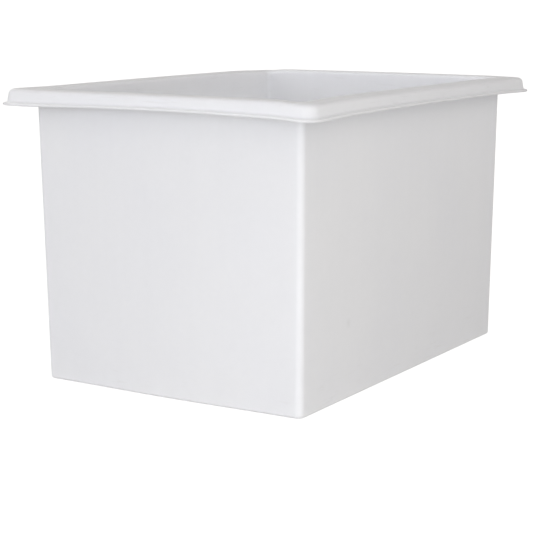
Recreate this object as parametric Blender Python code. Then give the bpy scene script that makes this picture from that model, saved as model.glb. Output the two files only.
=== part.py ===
"""Mortar mixing tub, drawn in Blender 4.5 as the regions of one polyethylene moulding.

Metres, +Z up. The origin is the middle of the underside, where the tub stands. The long sides
run along X. The floor, the four walls and the four lengths of rolled rim are separate solids that
meet face to face. The walls and rims meet on the vertical diagonals through the tub's corners.
"""
import math

import bmesh
import bpy

# Driving dimensions.
BASE_LENGTH = 0.735         # outside of the end walls, along X, at the floor
BASE_WIDTH = 0.510          # outside of the side walls, along Y, at the floor
HEIGHT = 0.503              # underside to the top of the rim
DRAFT = 0.0143              # how far each wall leans out, per metre of height
WALL_THICKNESS = 0.005
FLOOR_THICKNESS = 0.006
RIM_HEIGHT = 0.028          # underside of the lip to the top of the rim
RIM_OVERHANG = 0.046        # outside of a wall to the edge of the lip
LIP_WIDTH = 0.0065          # how far the lip stands out from the skirt
LIP_THICKNESS = 0.005
SKIRT_SLANT = 0.12          # outward run of the skirt, per metre of its height

# Roundings.
CORNER_RADIUS = 0.009       # vertical corners, outside
INSIDE_CORNER_RADIUS = 0.008
CORNER_FLARE = 0.35         # growth of the plan radius with each metre outward of the wall
BOTTOM_RADIUS = 0.004       # edge between the walls and the underside
COVE_RADIUS = 0.008         # edge between the walls and the floor, inside
RIM_ROUND = 0.009           # inner and outer edges of the rim's top
UNDER_RIM_FILLET = 0.004
CREASE_RADIUS = 0.0015      # where the skirt turns out into the lip

# Where the regions meet.
FLOOR_INSET = 0.016         # outside of a wall to the edge of the floor panel
RIM_SPLIT = 0.012           # top of the rim to the top of a wall region
GAP = 0.0003                # clearance between neighbouring solids

ARC_STEPS = 6               # straight lengths in a quarter turn of a section
CORNER_STEPS = 5            # straight lengths in half of a vertical corner

LIP_LEVEL = HEIGHT - RIM_HEIGHT
MITRE = math.radians(45)

PLASTIC_COLOUR = (0.83, 0.84, 0.86, 1.0)
PLASTIC_ROUGHNESS = 0.42


def clear_scene():
    for item in list(bpy.data.objects):
        bpy.data.objects.remove(item, do_unlink=True)


def polyethylene(name):
    """A satin white plastic."""
    material = bpy.data.materials.new(name + "_polyethylene")
    material.use_nodes = True
    shader = material.node_tree.nodes["Principled BSDF"]
    shader.inputs["Base Color"].default_value = PLASTIC_COLOUR
    shader.inputs["Roughness"].default_value = PLASTIC_ROUGHNESS
    shader.inputs["Metallic"].default_value = 0.0
    return material


def add_object(name, mesh_builder, turn=0.0):
    """Close a mesh into an object, turned about the vertical axis."""
    bmesh.ops.recalc_face_normals(mesh_builder, faces=mesh_builder.faces)
    mesh = bpy.data.meshes.new(name)
    mesh_builder.to_mesh(mesh)
    mesh_builder.free()
    mesh.shade_smooth()
    mesh.set_sharp_from_angle(angle=math.radians(35))
    mesh.materials.append(polyethylene(name))
    item = bpy.data.objects.new(name, mesh)
    item.rotation_euler = (0.0, 0.0, turn)
    bpy.context.collection.objects.link(item)
    return item


def arc(offset, height, radius, start, end):
    """Points of a section's arc, as (offset, height), from one angle to another in degrees."""
    steps = max(2, round(ARC_STEPS * abs(end - start) / 90))
    angles = [math.radians(start + (end - start) * i / steps) for i in range(steps + 1)]
    return [(offset + radius * math.cos(a), height + radius * math.sin(a)) for a in angles]


def plan_radius(offset):
    """Radius in plan of a corner, at an offset outward from the outside of the walls."""
    return max(INSIDE_CORNER_RADIUS, CORNER_RADIUS + CORNER_FLARE * offset)


def wall_section():
    """Section through a wall: its foot, the cove above it and the upright."""
    inner = -WALL_THICKNESS
    foot = -FLOOR_INSET
    cove_height = FLOOR_THICKNESS + COVE_RADIUS
    top = HEIGHT - RIM_SPLIT
    points = [(foot, FLOOR_THICKNESS), (foot, 0.0)]
    points += arc(-BOTTOM_RADIUS, BOTTOM_RADIUS, BOTTOM_RADIUS, -90, 0)
    points += [(0.0, top), (inner, top)]
    points += arc(inner - COVE_RADIUS, cove_height, COVE_RADIUS, 0, -90)
    return points


def rim_section():
    """Section through the rim: a channel open below, ending in a thin turned-out lip."""
    inner = -WALL_THICKNESS
    bottom = HEIGHT - RIM_SPLIT + GAP
    shoulder_height = HEIGHT - RIM_ROUND
    skirt_foot = RIM_OVERHANG - LIP_WIDTH
    lip_top = LIP_LEVEL + LIP_THICKNESS
    skirt_top = skirt_foot - SKIRT_SLANT * (shoulder_height - lip_top)
    shoulder = skirt_top - RIM_ROUND
    lip_round = LIP_THICKNESS / 2
    underside = HEIGHT - WALL_THICKNESS
    channel_radius = RIM_ROUND - WALL_THICKNESS + CREASE_RADIUS
    channel_side = skirt_top - WALL_THICKNESS

    points = [(inner, bottom)]
    points += arc(inner + RIM_ROUND, shoulder_height, RIM_ROUND, 180, 90)
    points += arc(shoulder, shoulder_height, RIM_ROUND, 90, 0)
    points += arc(skirt_foot + CREASE_RADIUS, lip_top + CREASE_RADIUS, CREASE_RADIUS, 180, 270)
    points += arc(RIM_OVERHANG - lip_round, LIP_LEVEL + lip_round, lip_round, 90, -90)
    points += [(skirt_foot - WALL_THICKNESS, LIP_LEVEL)]
    points += arc(channel_side - channel_radius, underside - channel_radius, channel_radius, 0, 90)
    points += arc(UNDER_RIM_FILLET, underside - UNDER_RIM_FILLET, UNDER_RIM_FILLET, 90, 180)
    points += [(0.0, bottom)]
    return points


def station(section, half_along, half_across, angle):
    """The section set across the length of a side, or turned by an angle into its corner."""
    row = []
    for offset, height in section:
        radius = plan_radius(offset)
        reach = offset + DRAFT * height - radius
        row.append([half_along + reach + radius * math.sin(angle),
                    half_across + reach + radius * math.cos(angle),
                    height])
    return row


def side_stations(section, half_along, half_across):
    """Stations from one diagonal to the other, each end held back by half the gap."""
    angles = [MITRE * i / CORNER_STEPS for i in range(CORNER_STEPS + 1)]
    rows = [station(section, half_along, half_across, angle) for angle in angles]
    setback = GAP / 2 * math.sin(MITRE)
    for point in rows[-1]:
        point[0] -= setback
        point[1] += setback
    mirrored = [[(-x, y, z) for x, y, z in row] for row in rows]
    return mirrored[::-1] + rows


def sweep(rows):
    """A closed solid through a list of equal, closed rows of points."""
    solid = bmesh.new()
    rings = [[solid.verts.new(point) for point in row] for row in rows]
    for ring, following in zip(rings, rings[1:]):
        for i in range(len(ring)):
            j = (i + 1) % len(ring)
            solid.faces.new((ring[i], ring[j], following[j], following[i]))
    solid.faces.new(rings[0])
    solid.faces.new(rings[-1])
    return solid


def make_floor_panel():
    """The flat floor inside the feet of the walls."""
    inset = FLOOR_INSET + GAP
    radius = INSIDE_CORNER_RADIUS
    corners = [(1, 1, 0), (-1, 1, 90), (-1, -1, 180), (1, -1, 270)]
    outline = []
    for side_x, side_y, start in corners:
        centre_x = side_x * (BASE_LENGTH / 2 - inset - radius)
        centre_y = side_y * (BASE_WIDTH / 2 - inset - radius)
        outline += arc(centre_x, centre_y, radius, start, start + 90)
    rows = [[(x, y, z) for x, y in outline] for z in (0.0, FLOOR_THICKNESS)]
    add_object("floor_panel", sweep(rows))


def make_side(name, section, along, across, quarter_turns):
    """One region over one side, drawn facing +Y and turned to its place."""
    rows = side_stations(section, along / 2, across / 2)
    add_object(name, sweep(rows), math.radians(90 * quarter_turns))


def make_walls():
    section = wall_section()
    make_side("rear_side_wall", section, BASE_LENGTH, BASE_WIDTH, 0)
    make_side("left_end_wall", section, BASE_WIDTH, BASE_LENGTH, 1)
    make_side("front_side_wall", section, BASE_LENGTH, BASE_WIDTH, 2)
    make_side("right_end_wall", section, BASE_WIDTH, BASE_LENGTH, 3)


def make_rims():
    section = rim_section()
    make_side("rim_rear_side", section, BASE_LENGTH, BASE_WIDTH, 0)
    make_side("rim_left_end", section, BASE_WIDTH, BASE_LENGTH, 1)
    make_side("rim_front_side", section, BASE_LENGTH, BASE_WIDTH, 2)
    make_side("rim_right_end", section, BASE_WIDTH, BASE_LENGTH, 3)


clear_scene()
make_floor_panel()
make_walls()
make_rims()
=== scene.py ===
"""The looks of the mortar mixing tub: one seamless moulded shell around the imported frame."""
import math

import bmesh
import bpy
import numpy as np
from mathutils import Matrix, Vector


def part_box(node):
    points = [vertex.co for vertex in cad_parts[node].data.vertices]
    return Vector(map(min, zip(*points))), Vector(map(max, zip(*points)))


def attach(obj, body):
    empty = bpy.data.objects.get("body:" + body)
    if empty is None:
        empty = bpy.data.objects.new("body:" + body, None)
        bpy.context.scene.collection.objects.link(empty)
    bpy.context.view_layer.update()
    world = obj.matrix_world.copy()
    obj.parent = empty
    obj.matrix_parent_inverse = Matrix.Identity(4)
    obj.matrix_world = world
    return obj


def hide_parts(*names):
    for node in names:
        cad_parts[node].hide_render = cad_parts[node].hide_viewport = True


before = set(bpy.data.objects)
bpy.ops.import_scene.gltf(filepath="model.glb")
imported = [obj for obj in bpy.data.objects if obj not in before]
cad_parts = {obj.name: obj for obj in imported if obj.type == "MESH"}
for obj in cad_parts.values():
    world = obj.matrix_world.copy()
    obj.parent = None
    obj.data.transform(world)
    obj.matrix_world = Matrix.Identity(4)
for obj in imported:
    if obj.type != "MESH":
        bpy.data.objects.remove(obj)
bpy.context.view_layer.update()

# Sizes read from the frame, in metres.
FLOOR_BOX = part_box("floor_panel")
END_WALL_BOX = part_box("left_end_wall")
END_RIM_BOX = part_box("rim_left_end")
HEIGHT = END_RIM_BOX[1].z
LIP_LEVEL = END_RIM_BOX[0].z
FLOOR_THICKNESS = FLOOR_BOX[1].z
PANEL_TO_WALL = 0.0163      # edge of the floor panel to the outside of the walls
HALF_LENGTH = FLOOR_BOX[1].x + PANEL_TO_WALL
HALF_WIDTH = FLOOR_BOX[1].y + PANEL_TO_WALL
DRAFT = (-END_WALL_BOX[0].x - HALF_LENGTH) / END_WALL_BOX[1].z

# The section of the moulding.
SKIN = 0.005
LIP_THICKNESS = 0.005
LIP_WIDTH = 0.0065
SKIRT_SLANT = 0.12          # outward run of the skirt for each metre of its height
RIM_ROUND = 0.007           # round of the rim's inner edge
SHOULDER_ROUND = 0.009      # and of its outer edge
RIM_FALL = 0.0006           # how far the top falls from its inner to its outer edge
UNDER_RIM_FILLET = 0.004
CREASE_RADIUS = 0.0036
CREASE_STRETCH = 1.3        # height of the crease over its width
HEEL_RADIUS = 0.0008
BOTTOM_RADIUS = 0.004
COVE_RADIUS = 0.008
OVERHANG = -END_RIM_BOX[0].x - HALF_LENGTH - DRAFT * (LIP_LEVEL + LIP_THICKNESS / 2)
WALL_STEPS = 34

# Corners in plan.
CORNER_RADIUS = 0.011
INSIDE_CORNER_RADIUS = 0.011
CORNER_FLARE = 0.30         # growth of the plan radius with each metre outward of the wall
CORNER_STEPS = 14
SIDE_STEPS = 44
FLOOR_RINGS = 6

# How the cooled moulding has moved away from its drawing.
END_BULGE = (0.0045, 0.0012, 0.0002)    # outward bow of the end walls: foot, middle, rim
SIDE_BULGE = (0.0, 0.0018, 0.0016)      # the same for the side walls
RIM_CROWN = 0.0007                      # rise of the rim's top at mid-side
CORNER_DROOP = (0.0022, -0.0013, 0.0022, 0.0008)    # of the rim, from +X +Y round by -X +Y
END_DROOP_REACH = 0.021                 # how far the droop reaches along the end walls
SIDE_DROOP_REACH = 0.052                # along the side walls
DROOP_DEPTH = 0.10                      # and down all of them
LEAN = (0.0001, -0.0020)                # from the middle of the rim to the middle of the foot
END_SKIRT_LIFT = 0.132                  # share by which the skirt of an end is shorter at mid-side
SIDE_SKIRT_LIFT = 0.088                 # the same for the sides

# The plastic: its colours, and in metres the sizes of its marks and the depths of its relief.
DEEP_TONE = (0.885, 0.896, 0.916)
PALE_TONE = (0.915, 0.926, 0.950)
SCUFF_COLOUR = (0.80, 0.80, 0.795)
SMUDGE_COLOUR = (0.80, 0.805, 0.81)
REFRACTION = 1.51
TRANSLUCENCY = 1.0
LIGHT_DEPTH = 0.009
NOISE_RANGE = (0.3, 0.7)    # the stretch of a noise's values that is used
CLOUD_SIZE = 0.16
CLOUD_SHARE = 0.6
ROUGHNESS = (0.38, 0.46)
ROUGHNESS_SIZE = CLOUD_SIZE / 3
MOTTLE_SIZE = 0.011
MOTTLE_SHARE = 0.25
DRAW_MARK_SIZE = 0.014
DRAW_MARK_SHARE = 0.15
DRAW_MARK_STRETCH = (1.0, 1.0, 0.05)
SCUFF_SIZE = 0.012
SCUFF_STRETCH = (0.2, 0.2, 2.2)
SCUFF_RANGE = (0.60, 0.72)
SCUFF_HEIGHT = 0.12
SCUFF_STRENGTH = 0.35
SCUFF_ROUGHNESS = 0.2
SMUDGE_PLACE = (-0.217, -0.257, 0.129)
SMUDGE_RADIUS = 0.011
SMUDGE_STRENGTH = 0.5
WAVE_SIZE = 0.12
WAVE_DEPTH = 0.0008
PEEL_SIZE = 0.0045
PEEL_DEPTH = 0.00003
GRAIN_SIZE = 0.0007
GRAIN_DEPTH = 0.000008

# The camera, in the frame's own coordinates.
CAMERA_PLACE = (-2.3772, -1.4372, 0.6673)
CAMERA_HEADING = math.radians(58.249)    # clockwise from +Y
CAMERA_DIP = math.radians(10.248)
CAMERA_LENS = 103.41
SENSOR_WIDTH = 36.0

# The studio: how bright the surround is below and above the horizon, and the bands of light
# round it. A band begins and fades between two heights, each the height of a direction one
# unit long, and has its own strength on four sides.
FLOOR_GLOW = 0.40
SKY_GLOW = 0.435
BANDS = (
    {"begins": (-0.03, 0.08), "fades": (0.15, 0.40),
     "left": 2.55, "front": 0.78, "right": 0.38, "rear": 0.0},
    {"begins": (0.15, 0.40), "fades": (0.60, 0.95),
     "left": 0.61, "front": 0.95, "right": 0.0, "rear": 1.32},
)
BAND_NARROWING = 1.5        # the greater, the closer each band's light keeps to its side
SIDE_COLOUR = (1.0, 0.972, 0.955)   # of all the surround but the bands' left side
LEFT_COLOUR = (0.91, 0.925, 1.0)    # of the bands' left side
SOFTBOXES = (               # name, place, width and power in watts
    ("low_front_softbox", (-1.1, -1.0, 0.06), 0.5, 3.1),
    ("low_left_softbox", (-1.3, 0.3, 0.05), 0.4, 0.44),
)
SWEEP_RADIUS = 20.0
SWEEP_TURN = 3.0
SWEEP_HEIGHT = 9.0
SWEEP_SIDES = 96
SWEEP_TURN_STEPS = 12
SWEEP_COLOUR = (0.35, 0.35, 0.35)
SWEEP_GLOW = 0.86


def arc(offset, height, radius, start, end, steps):
    """Points of a section's arc, as (offset, height), between two angles in degrees."""
    angles = np.radians(np.linspace(start, end, steps + 1))
    return [(offset + radius * math.cos(a), height + radius * math.sin(a)) for a in angles]


def eased(steps):
    """Shares of a length from 0 to 1, closer together near both ends."""
    even = np.linspace(0, 1, steps + 1)
    return 0.5 * even + 0.5 * (0.5 - 0.5 * np.cos(math.pi * even))


def joined(first, *more):
    """Arcs end to end, each but the first preceded by the number of steps that lead up to it."""
    points = list(first)
    for steps, stretch in zip(more[0::2], more[1::2]):
        (x0, z0), (x1, z1) = points[-1], stretch[0]
        points += [(x0 + t * (x1 - x0), z0 + t * (z1 - z0)) for t in eased(steps)[1:-1]]
        points += stretch
    return points


def shell_section():
    """The skin's outline from the edge of the floor, over the rim and down to the underside.

    Each point is (offset outward from the outside of the walls, height)."""
    skirt_foot = OVERHANG - LIP_WIDTH
    lip_top = LIP_LEVEL + LIP_THICKNESS
    lip_round = LIP_THICKNESS / 2
    shoulder_height = HEIGHT - RIM_FALL - SHOULDER_ROUND
    skirt_top = skirt_foot - SKIRT_SLANT * (shoulder_height - lip_top)
    slant = math.degrees(math.atan(SKIRT_SLANT))
    middle = skirt_top - SHOULDER_ROUND
    fall = math.degrees(math.atan(RIM_FALL / (middle + SKIN - RIM_ROUND)))
    heel = skirt_foot - SKIN + HEEL_RADIUS

    cove = arc(-SKIN - COVE_RADIUS, FLOOR_THICKNESS + COVE_RADIUS, COVE_RADIUS, -90, 0, 7)
    inner_edge = arc(-SKIN + RIM_ROUND, HEIGHT - RIM_ROUND, RIM_ROUND, 180, 90 - fall, 9)
    shoulder = arc(middle, shoulder_height, SHOULDER_ROUND, 90 - fall, slant, 12)
    crease = arc(skirt_foot + CREASE_RADIUS, lip_top + CREASE_RADIUS, CREASE_RADIUS,
                 180 + slant, 270, 6)
    crease = [(x, lip_top + CREASE_STRETCH * (z - lip_top)) for x, z in crease]
    lip_edge = arc(OVERHANG - lip_round, LIP_LEVEL + lip_round, lip_round, 90, -90, 10)
    skirt_heel = arc(heel, LIP_LEVEL + HEEL_RADIUS, HEEL_RADIUS, -90, -180, 3)
    channel = arc(middle, shoulder_height, SHOULDER_ROUND - SKIN, 0, 90 - fall, 8)
    under_rim = arc(UNDER_RIM_FILLET, HEIGHT - SKIN - UNDER_RIM_FILLET, UNDER_RIM_FILLET,
                    90 - fall, 180, 6)
    foot = arc(-BOTTOM_RADIUS, BOTTOM_RADIUS, BOTTOM_RADIUS, 0, -90, 6)
    inside = (cove, WALL_STEPS, inner_edge, 8, shoulder)
    lip = (4, crease, 2, lip_edge, 3, skirt_heel)
    outside = (4, channel, 6, under_rim, WALL_STEPS, foot, 3, [(-SKIN - COVE_RADIUS, 0.0)])
    return joined(*inside, *lip, *outside)


def smooth(low, high, value):
    """0 below low, 1 above high, and a smooth rise between."""
    t = np.clip((value - low) / (high - low), 0, 1)
    return t * t * (3 - 2 * t)


def corner_row(corner, turn, offset, height):
    """The section turned into a rounded corner, as arrays of x and y."""
    sign_x = 1 if corner in (0, 3) else -1
    sign_y = 1 if corner in (0, 1) else -1
    outside = CORNER_RADIUS + CORNER_FLARE * np.maximum(offset, 0)
    radius = outside + (INSIDE_CORNER_RADIUS - CORNER_RADIUS) * smooth(0, SKIN, -offset)
    reach = offset + DRAFT * height - radius
    x = sign_x * (HALF_LENGTH + reach) + radius * math.cos(turn)
    y = sign_y * (HALF_WIDTH + reach) + radius * math.sin(turn)
    return x, y


def level_curve(levels, height):
    """A smooth curve through values at the foot, the middle and the rim of the walls."""
    t = np.clip(height / HEIGHT, 0, 1)
    foot, middle, rim = levels
    return foot * (1 - t) * (1 - 2 * t) + 4 * middle * t * (1 - t) + rim * t * (2 * t - 1)


def droop(corner, share, length, reach):
    """How far the rim droops at a share of the way from one corner to the next."""
    near = CORNER_DROOP[corner] * math.exp(-(share * length / reach) ** 2)
    far = CORNER_DROOP[(corner + 1) % 4] * math.exp(-((1 - share) * length / reach) ** 2)
    return near + far


def settle(offset, height, rise, skirt_lift):
    """Heights after cooling: the rim moved up by rise, and its skirt shortened from below."""
    hanging = smooth(UNDER_RIM_FILLET, SKIN + RIM_ROUND, offset)
    lifted = height + (HEIGHT - height) * skirt_lift * hanging
    rim = np.maximum(smooth(HEIGHT - DROOP_DEPTH, HEIGHT - RIM_ROUND, lifted), hanging)
    return lifted + rise * rim


def lean(x, y, height):
    """Moves a level of the walls sideways, the more the lower it lies."""
    depth = 1 - height / HEIGHT
    return x + LEAN[0] * depth, y + LEAN[1] * depth


def shell_rows():
    """The section at one station after another round the tub, each a row of points."""
    section = np.array(shell_section())
    offset, height = section[:, 0], section[:, 1]
    rows = []
    for corner in range(4):
        for i in range(CORNER_STEPS + 1):
            turn = math.pi / 2 * (corner + i / CORNER_STEPS)
            x, y = lean(*corner_row(corner, turn, offset, height), height)
            rows.append(np.column_stack([x, y, settle(offset, height, -CORNER_DROOP[corner], 0)]))
        facing = math.pi / 2 * (corner + 1)
        start = corner_row(corner, facing, offset, height)
        end = corner_row((corner + 1) % 4, facing, offset, height)
        on_end = corner in (1, 3)
        length = 2 * (HALF_WIDTH if on_end else HALF_LENGTH)
        reach = END_DROOP_REACH if on_end else SIDE_DROOP_REACH
        bulge = level_curve(END_BULGE if on_end else SIDE_BULGE, height)
        lift = END_SKIRT_LIFT if on_end else SIDE_SKIRT_LIFT
        for share in eased(SIDE_STEPS)[1:-1]:
            crown = math.sin(math.pi * share)
            x = start[0] + share * (end[0] - start[0]) + math.cos(facing) * bulge * crown ** 2
            y = start[1] + share * (end[1] - start[1]) + math.sin(facing) * bulge * crown ** 2
            rise = RIM_CROWN * crown - droop(corner, share, length, reach)
            x, y = lean(x, y, height)
            rows.append(np.column_stack([x, y, settle(offset, height, rise, lift * crown)]))
    return rows


def close_with_rings(mesh, ring):
    """Fills a flat ring of vertices with smaller and smaller rings round its middle."""
    middle = sum((vert.co for vert in ring), Vector()) / len(ring)
    for i in range(1, FLOOR_RINGS):
        share = 1 - i / FLOOR_RINGS
        inner = [mesh.verts.new(middle + (vert.co - middle) * share / (share + 1 / FLOOR_RINGS))
                 for vert in ring]
        for j, vert in enumerate(ring):
            k = (j + 1) % len(ring)
            mesh.faces.new((vert, ring[k], inner[k], inner[j]))
        ring = inner
    tip = mesh.verts.new(middle)
    for j, vert in enumerate(ring):
        mesh.faces.new((vert, ring[(j + 1) % len(ring)], tip))


def build_shell():
    """The moulding as one closed mesh: its section carried round, its floor and foot filled."""
    mesh = bmesh.new()
    rows = [[mesh.verts.new(point) for point in row] for row in shell_rows()]
    for row, following in zip(rows, rows[1:] + rows[:1]):
        for i in range(len(row) - 1):
            mesh.faces.new((row[i], row[i + 1], following[i + 1], following[i]))
    close_with_rings(mesh, [row[0] for row in rows])
    close_with_rings(mesh, [row[-1] for row in rows])
    bmesh.ops.recalc_face_normals(mesh, faces=mesh.faces)
    data = bpy.data.meshes.new("tub_shell")
    mesh.to_mesh(data)
    mesh.free()
    data.shade_smooth()
    shell = bpy.data.objects.new("tub_shell", data)
    bpy.context.collection.objects.link(shell)
    weighted = shell.modifiers.new("even_shading", "WEIGHTED_NORMAL")
    weighted.mode = "FACE_AREA"
    weighted.weight = 80
    return shell


def add_node(tree, kind, sources=None, values=None, **settings):
    """A shader node with its settings, the values of its sockets and what feeds them."""
    node = tree.nodes.new(kind)
    for name, value in settings.items():
        setattr(node, name, value)
    for name, value in (values or {}).items():
        node.inputs[name].default_value = value
    for name, source in (sources or {}).items():
        tree.links.new(source, node.inputs[name])
    return node


def noise(tree, place, size, detail=2.0, stretch=None, distortion=0.0):
    """Cloudy noise, from 0 to 1, with blotches about size metres across."""
    if stretch:
        scaled = add_node(tree, "ShaderNodeMapping", {"Vector": place}, {"Scale": stretch})
        place = scaled.outputs["Vector"]
    values = {"Scale": 1 / size, "Detail": detail, "Roughness": 0.5, "Distortion": distortion}
    return add_node(tree, "ShaderNodeTexNoise", {"Vector": place}, values).outputs["Fac"]


def remap(tree, source, start, end, low, high, eased_ends=False):
    """The source's stretch from start to end, taken to low and high."""
    values = {"From Min": start, "From Max": end, "To Min": low, "To Max": high}
    kind = "SMOOTHSTEP" if eased_ends else "LINEAR"
    node = add_node(tree, "ShaderNodeMapRange", {"Value": source}, values, interpolation_type=kind)
    return node.outputs["Result"]


def math_node(tree, operation, first, second):
    """One step of arithmetic on two sources, or on a source and a number."""
    node = add_node(tree, "ShaderNodeMath", {0: first}, operation=operation)
    if isinstance(second, (int, float)):
        node.inputs[1].default_value = second
    else:
        tree.links.new(second, node.inputs[1])
    return node.outputs["Value"]


def total(tree, terms):
    """The sum of several sources."""
    result = terms[0]
    for term in terms[1:]:
        result = math_node(tree, "ADD", result, term)
    return result


def mixed(tree, factor, first, second):
    """A colour mixed from two, each either a colour or a source."""
    node = add_node(tree, "ShaderNodeMix", {"Factor": factor}, data_type="RGBA")
    for name, colour in (("A", first), ("B", second)):
        socket = next(s for s in node.inputs if s.name == name and s.type == "RGBA")
        if isinstance(colour, tuple):
            socket.default_value = (*colour, 1.0)
        else:
            tree.links.new(colour, socket)
    return next(s for s in node.outputs if s.type == "RGBA")


def tone_of(tree, place):
    """Uneven depth of colour: clouds, mottling and draw marks down the walls, from 0 to 1."""
    clouds = remap(tree, noise(tree, place, CLOUD_SIZE, 3.0), *NOISE_RANGE, 0.0, CLOUD_SHARE)
    mottle = remap(tree, noise(tree, place, MOTTLE_SIZE, 2.0), *NOISE_RANGE, 0.0, MOTTLE_SHARE)
    marks = noise(tree, place, DRAW_MARK_SIZE, 1.0, DRAW_MARK_STRETCH)
    marks = remap(tree, marks, *NOISE_RANGE, 0.0, DRAW_MARK_SHARE)
    return total(tree, [clouds, mottle, marks])


def scuffs_of(tree, place):
    """Faint rubbed streaks along the foot and the rim, from 0 to 1."""
    streaks = noise(tree, place, SCUFF_SIZE, 3.0, SCUFF_STRETCH, 0.6)
    streaks = remap(tree, streaks, *SCUFF_RANGE, 0.0, 1.0, True)
    height = add_node(tree, "ShaderNodeSeparateXYZ", {"Vector": place}).outputs["Z"]
    near_foot = remap(tree, height, 0.0, SCUFF_HEIGHT, 1.0, 0.0)
    near_rim = remap(tree, height, HEIGHT - SCUFF_HEIGHT / 2, HEIGHT, 0.0, 1.0)
    return math_node(tree, "MULTIPLY", streaks, math_node(tree, "MAXIMUM", near_foot, near_rim))


def smudge_of(tree, place):
    """One faint round smudge on the front wall, from 0 to 1."""
    distance = add_node(tree, "ShaderNodeVectorMath", {0: place}, {1: SMUDGE_PLACE},
                        operation="DISTANCE")
    return remap(tree, distance.outputs["Value"], 0.0, SMUDGE_RADIUS, 1.0, 0.0, True)


def relief_of(tree, place):
    """The moulded surface: long waves in the walls, orange peel and the mould's fine grain."""
    waves = add_node(tree, "ShaderNodeBump", {"Height": noise(tree, place, WAVE_SIZE, 1.0)},
                     {"Strength": 1.0, "Distance": WAVE_DEPTH})
    peel = add_node(tree, "ShaderNodeBump",
                    {"Height": noise(tree, place, PEEL_SIZE, 2.0), "Normal": waves.outputs["Normal"]},
                    {"Strength": 1.0, "Distance": PEEL_DEPTH})
    grain = add_node(tree, "ShaderNodeBump",
                     {"Height": noise(tree, place, GRAIN_SIZE, 2.0), "Normal": peel.outputs["Normal"]},
                     {"Strength": 1.0, "Distance": GRAIN_DEPTH})
    return grain.outputs["Normal"]


def polyethylene():
    """Satin natural-white polyethylene, which lets some light through."""
    material = bpy.data.materials.new("moulded_polyethylene")
    material.use_nodes = True
    tree = material.node_tree
    shader = tree.nodes["Principled BSDF"]
    shader.inputs["IOR"].default_value = REFRACTION
    shader.inputs["Subsurface Weight"].default_value = TRANSLUCENCY
    shader.inputs["Subsurface Radius"].default_value = (1.0, 1.0, 1.0)
    shader.inputs["Subsurface Scale"].default_value = LIGHT_DEPTH

    place = add_node(tree, "ShaderNodeTexCoord").outputs["Object"]
    scuffs = scuffs_of(tree, place)
    colour = mixed(tree, tone_of(tree, place), DEEP_TONE, PALE_TONE)
    scuffed = math_node(tree, "MULTIPLY", scuffs, SCUFF_STRENGTH)
    colour = mixed(tree, scuffed, colour, SCUFF_COLOUR)
    smudged = math_node(tree, "MULTIPLY", smudge_of(tree, place), SMUDGE_STRENGTH)
    colour = mixed(tree, smudged, colour, SMUDGE_COLOUR)
    tree.links.new(colour, shader.inputs["Base Color"])

    roughness = remap(tree, noise(tree, place, ROUGHNESS_SIZE, 3.0), *NOISE_RANGE, *ROUGHNESS)
    rubbed = math_node(tree, "MULTIPLY", scuffs, SCUFF_ROUGHNESS)
    roughness = math_node(tree, "ADD", roughness, rubbed)
    tree.links.new(roughness, shader.inputs["Roughness"])
    tree.links.new(relief_of(tree, place), shader.inputs["Normal"])
    return material


def make_sweep():
    """A round white studio floor that turns up into a wall all round, so that no horizon shows.

    Only the camera sees it. The surround lights the tub from below, as a pale floor would."""
    turn = arc(SWEEP_RADIUS - SWEEP_TURN, SWEEP_TURN, SWEEP_TURN, -90, 0, SWEEP_TURN_STEPS)
    profile = turn + [(SWEEP_RADIUS, SWEEP_HEIGHT)]
    mesh = bmesh.new()
    rings = []
    for radius, height in profile:
        angles = [2 * math.pi * i / SWEEP_SIDES for i in range(SWEEP_SIDES)]
        rings.append([mesh.verts.new((radius * math.cos(a), radius * math.sin(a), height))
                      for a in angles])
    mesh.faces.new(rings[0])
    for lower, upper in zip(rings, rings[1:]):
        for i in range(SWEEP_SIDES):
            j = (i + 1) % SWEEP_SIDES
            mesh.faces.new((lower[i], upper[i], upper[j], lower[j]))
    data = bpy.data.meshes.new("studio_sweep")
    mesh.to_mesh(data)
    mesh.free()
    data.shade_smooth()
    sweep = bpy.data.objects.new("studio_sweep", data)
    bpy.context.collection.objects.link(sweep)
    sweep.visible_diffuse = False
    sweep.visible_glossy = False
    sweep.visible_transmission = False
    sweep.visible_shadow = False

    material = bpy.data.materials.new("white_sweep")
    material.use_nodes = True
    shader = material.node_tree.nodes["Principled BSDF"]
    shader.inputs["Base Color"].default_value = (*SWEEP_COLOUR, 1.0)
    shader.inputs["Roughness"].default_value = 1.0
    shader.inputs["Specular IOR Level"].default_value = 0.0
    shader.inputs["Emission Color"].default_value = (1.0, 1.0, 1.0, 1.0)
    shader.inputs["Emission Strength"].default_value = SWEEP_GLOW
    data.materials.append(material)
    return sweep


def toward(tree, axis, sign):
    """1 straight along one side of an axis, less to either hand of it and 0 behind."""
    along = math_node(tree, "MAXIMUM", math_node(tree, "MULTIPLY", axis, sign), 0.0)
    return math_node(tree, "POWER", along, BAND_NARROWING)


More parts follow.
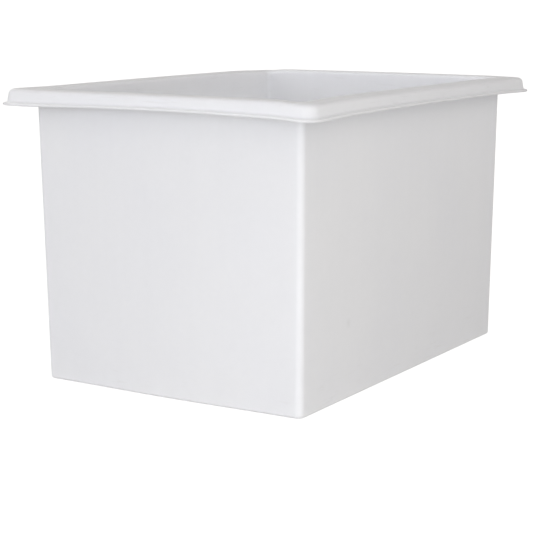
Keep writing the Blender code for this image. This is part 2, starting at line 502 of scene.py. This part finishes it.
def make_surround():
    """A world like a studio tent: pale floor, soft sky, and two bands of light round it."""
    world = bpy.data.worlds.new("studio")
    world.use_nodes = True
    tree = world.node_tree
    direction = add_node(tree, "ShaderNodeTexCoord").outputs["Generated"]
    axes = add_node(tree, "ShaderNodeSeparateXYZ", {"Vector": direction}).outputs
    height = axes["Z"]
    facing = {"left": toward(tree, axes["X"], -1.0), "front": toward(tree, axes["Y"], -1.0),
              "right": toward(tree, axes["X"], 1.0), "rear": toward(tree, axes["Y"], 1.0)}
    floor = math_node(tree, "MULTIPLY", math_node(tree, "LESS_THAN", height, 0.0), FLOOR_GLOW)
    sky = math_node(tree, "MULTIPLY", math_node(tree, "MAXIMUM", height, 0.0), SKY_GLOW)
    even, left = [floor, sky], []
    for band in BANDS:
        begun = remap(tree, height, *band["begins"], 0.0, 1.0, True)
        kept = remap(tree, height, *band["fades"], 1.0, 0.0, True)
        level = math_node(tree, "MULTIPLY", begun, kept)
        for side, source in facing.items():
            glow = math_node(tree, "MULTIPLY", level, source)
            glow = math_node(tree, "MULTIPLY", glow, band[side])
            lights = left if side == "left" else even
            lights.append(glow)

    tree.links.new(total(tree, even), tree.nodes["Background"].inputs["Strength"])
    tree.nodes["Background"].inputs["Color"].default_value = (*SIDE_COLOUR, 1.0)
    cool = add_node(tree, "ShaderNodeBackground", {"Strength": total(tree, left)},
                    {"Color": (*LEFT_COLOUR, 1.0)})
    both = add_node(tree, "ShaderNodeAddShader", {0: tree.nodes["Background"].outputs[0],
                                                  1: cool.outputs["Background"]})
    tree.links.new(both.outputs["Shader"], tree.nodes["World Output"].inputs["Surface"])
    bpy.context.scene.world = world


def make_softboxes():
    """The weak softboxes of SOFTBOXES, each aimed at the middle of the tub."""
    for name, place, width, power in SOFTBOXES:
        data = bpy.data.lights.new(name, "AREA")
        data.size = width
        data.energy = power
        light = bpy.data.objects.new(name, data)
        light.location = place
        aim = Vector((0.0, 0.0, HEIGHT / 2)) - light.location
        light.rotation_euler = aim.to_track_quat("-Z", "Y").to_euler()
        light.visible_camera = False
        bpy.context.collection.objects.link(light)


def make_camera():
    """The camera, where the photo was taken from."""
    data = bpy.data.cameras.new("camera")
    data.lens = CAMERA_LENS
    data.sensor_width = SENSOR_WIDTH
    camera = bpy.data.objects.new("camera", data)
    camera.location = CAMERA_PLACE
    camera.rotation_euler = (math.pi / 2 - CAMERA_DIP, 0.0, -CAMERA_HEADING)
    bpy.context.collection.objects.link(camera)
    bpy.context.scene.camera = camera


make_camera()
make_surround()
make_softboxes()
make_sweep()
bpy.context.scene.view_settings.view_transform = "Standard"
shell = build_shell()
shell.data.materials.append(polyethylene())
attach(shell, "root")
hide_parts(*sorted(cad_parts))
